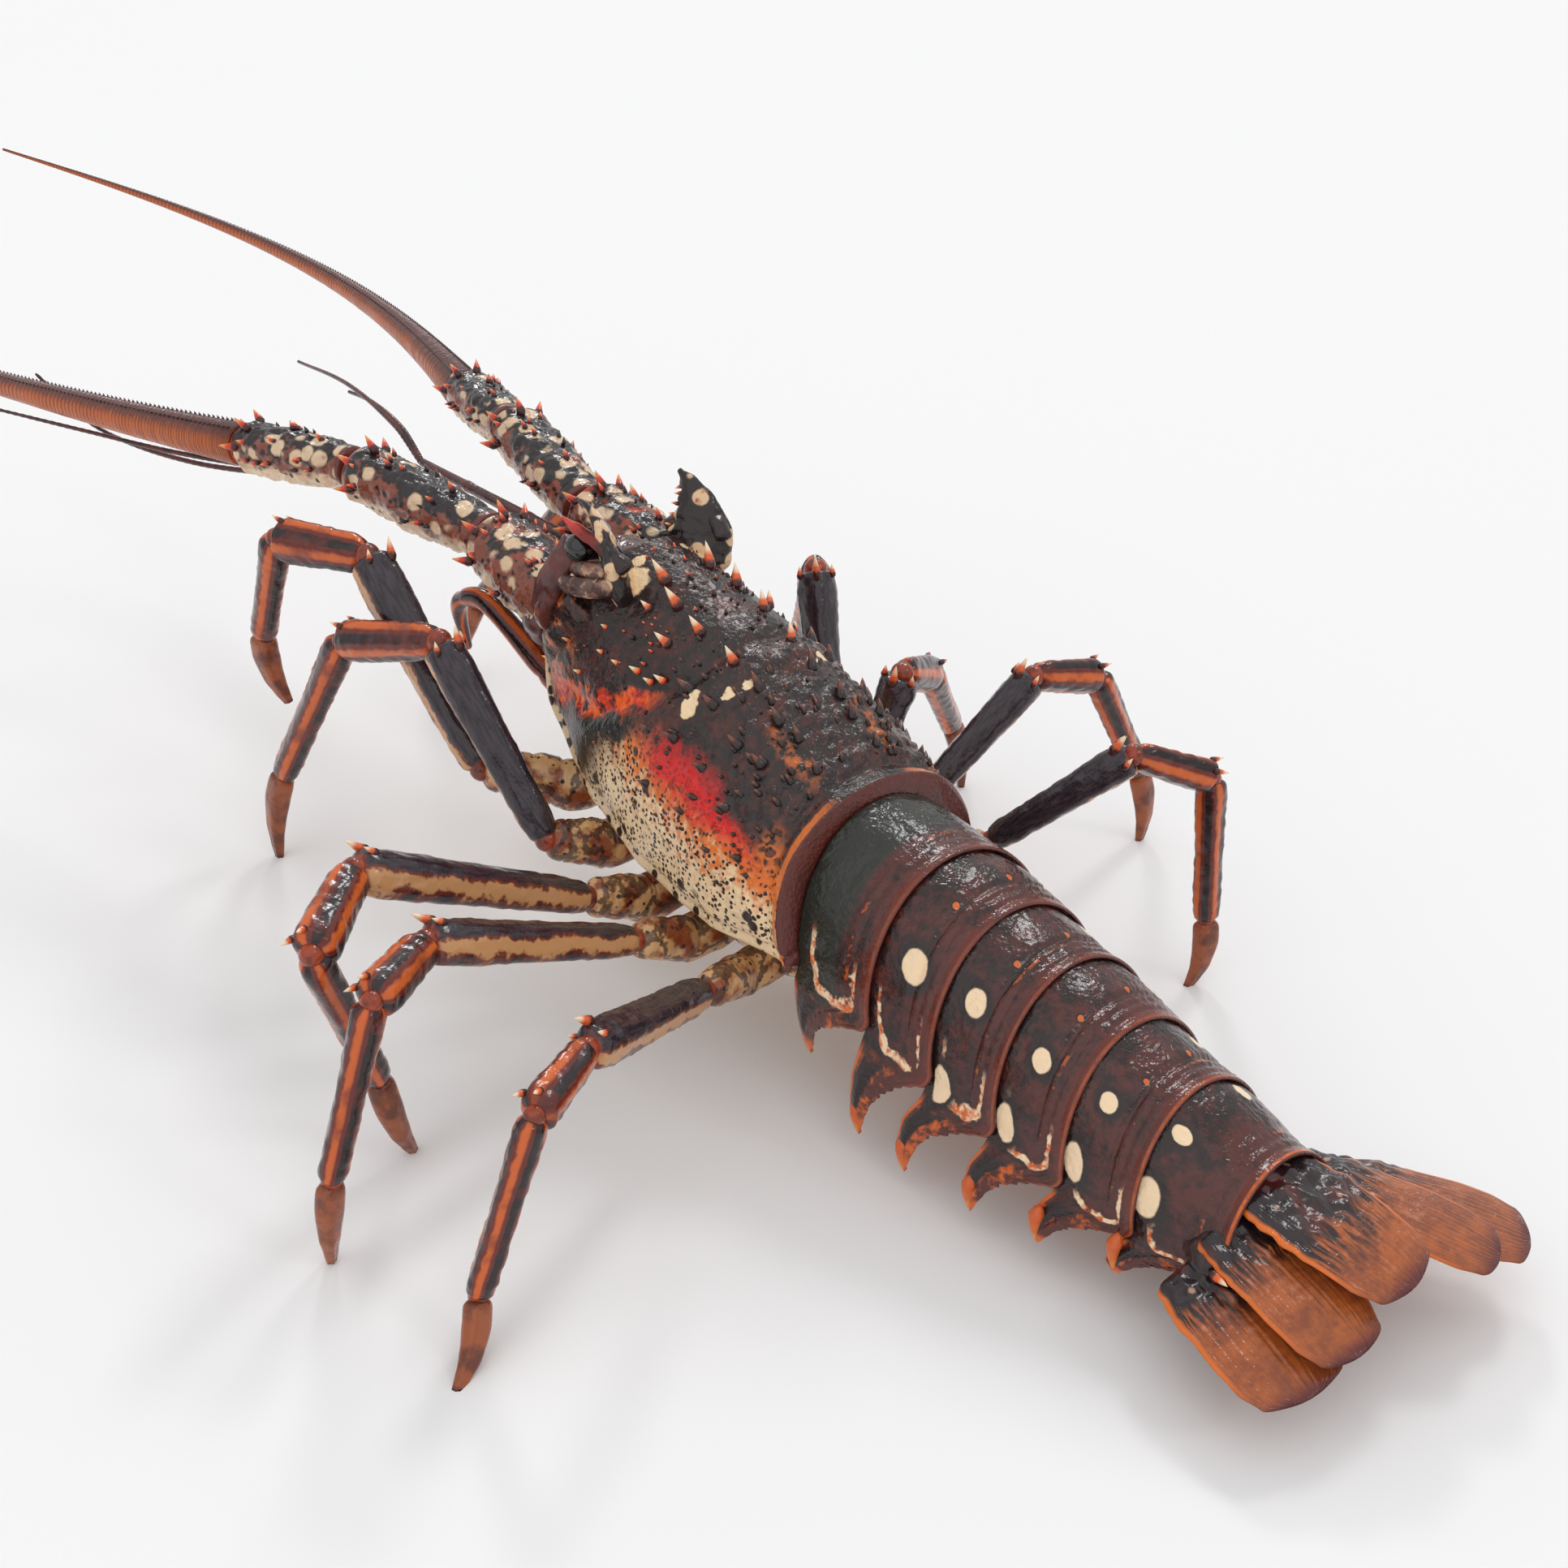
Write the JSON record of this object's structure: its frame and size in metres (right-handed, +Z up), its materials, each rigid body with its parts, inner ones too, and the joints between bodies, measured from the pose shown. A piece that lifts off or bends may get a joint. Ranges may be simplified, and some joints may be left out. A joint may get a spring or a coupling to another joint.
{
  "type": "spiny lobster",
  "caption": "Spiny lobster at life size, standing on its walking legs with long antennae forward and tail fan spread.",
  "frame": {"origin": "middle of the outline's foot, on the floor that the feet stand on", "axes": "+Z up, the head faces -Y, the animal's left side is +X"},
  "size_m": [0.2782, 0.6744, 0.1476],
  "materials": {
    "carapace_shell": "wet glossy shell, dark brown with cream, orange and red marks",
    "horn": "wet glossy shell, near black with cream spots",
    "eye": "polished black bead",
    "antenna_shell": "wet shell, maroon and black with cream blotches and red spines",
    "flagellum": "ringed, purple brown above and orange below",
    "antennule": "satin dark maroon",
    "leg_shell": "wet shell, purple black with orange stripes and cream underside",
    "tail_shell": "wet pitted shell, dark maroon with cream spots and orange rims",
    "fan_blade": "ribbed leathery blade, orange brown with a maroon edge",
    "belly": "satin cream and orange marbling"
  },
  "bodies": {
    "root": {"carapace": "carapace_shell", "head_plate": "carapace_shell", "breast_plate": "belly", "horn_left": "horn", "eye_left": "eye", "antenna_left_segment_1": "antenna_shell", "antenna_left_segment_2": "antenna_shell", "antenna_left_segment_3": "antenna_shell", "antenna_left_flagellum_near": "flagellum", "antenna_left_flagellum_far": "flagellum", "antennule_left": "antennule", "maxilliped_left": "leg_shell", "leg_left_1_upper": "leg_shell", "leg_left_1_lower": "leg_shell", "leg_left_2_upper": "leg_shell", "leg_left_2_lower": "leg_shell", "leg_left_3_upper": "leg_shell", "leg_left_3_lower": "leg_shell", "leg_left_4_upper": "leg_shell", "leg_left_4_lower": "leg_shell", "leg_left_5_upper": "leg_shell", "leg_left_5_lower": "leg_shell", "horn_right": "horn", "eye_right": "eye", "antenna_right_segment_1": "antenna_shell", "antenna_right_segment_2": "antenna_shell", "antenna_right_segment_3": "antenna_shell", "antenna_right_flagellum_near": "flagellum", "antenna_right_flagellum_far": "flagellum", "antennule_right": "antennule", "maxilliped_right": "leg_shell", "leg_right_1_upper": "leg_shell", "leg_right_1_lower": "leg_shell", "leg_right_2_upper": "leg_shell", "leg_right_2_lower": "leg_shell", "leg_right_3_upper": "leg_shell", "leg_right_3_lower": "leg_shell", "leg_right_4_upper": "leg_shell", "leg_right_4_lower": "leg_shell", "leg_right_5_upper": "leg_shell", "leg_right_5_lower": "leg_shell", "tail_ring_1": "tail_shell", "tail_ring_2": "tail_shell", "tail_ring_3": "tail_shell", "tail_ring_4": "tail_shell", "tail_ring_5": "tail_shell", "tail_ring_6": "tail_shell", "telson": "fan_blade", "uropod_left_base": "tail_shell", "uropod_left_inner": "fan_blade", "uropod_left_outer": "fan_blade", "uropod_right_base": "tail_shell", "uropod_right_inner": "fan_blade", "uropod_right_outer": "fan_blade"}
  },
  "joints": []
}
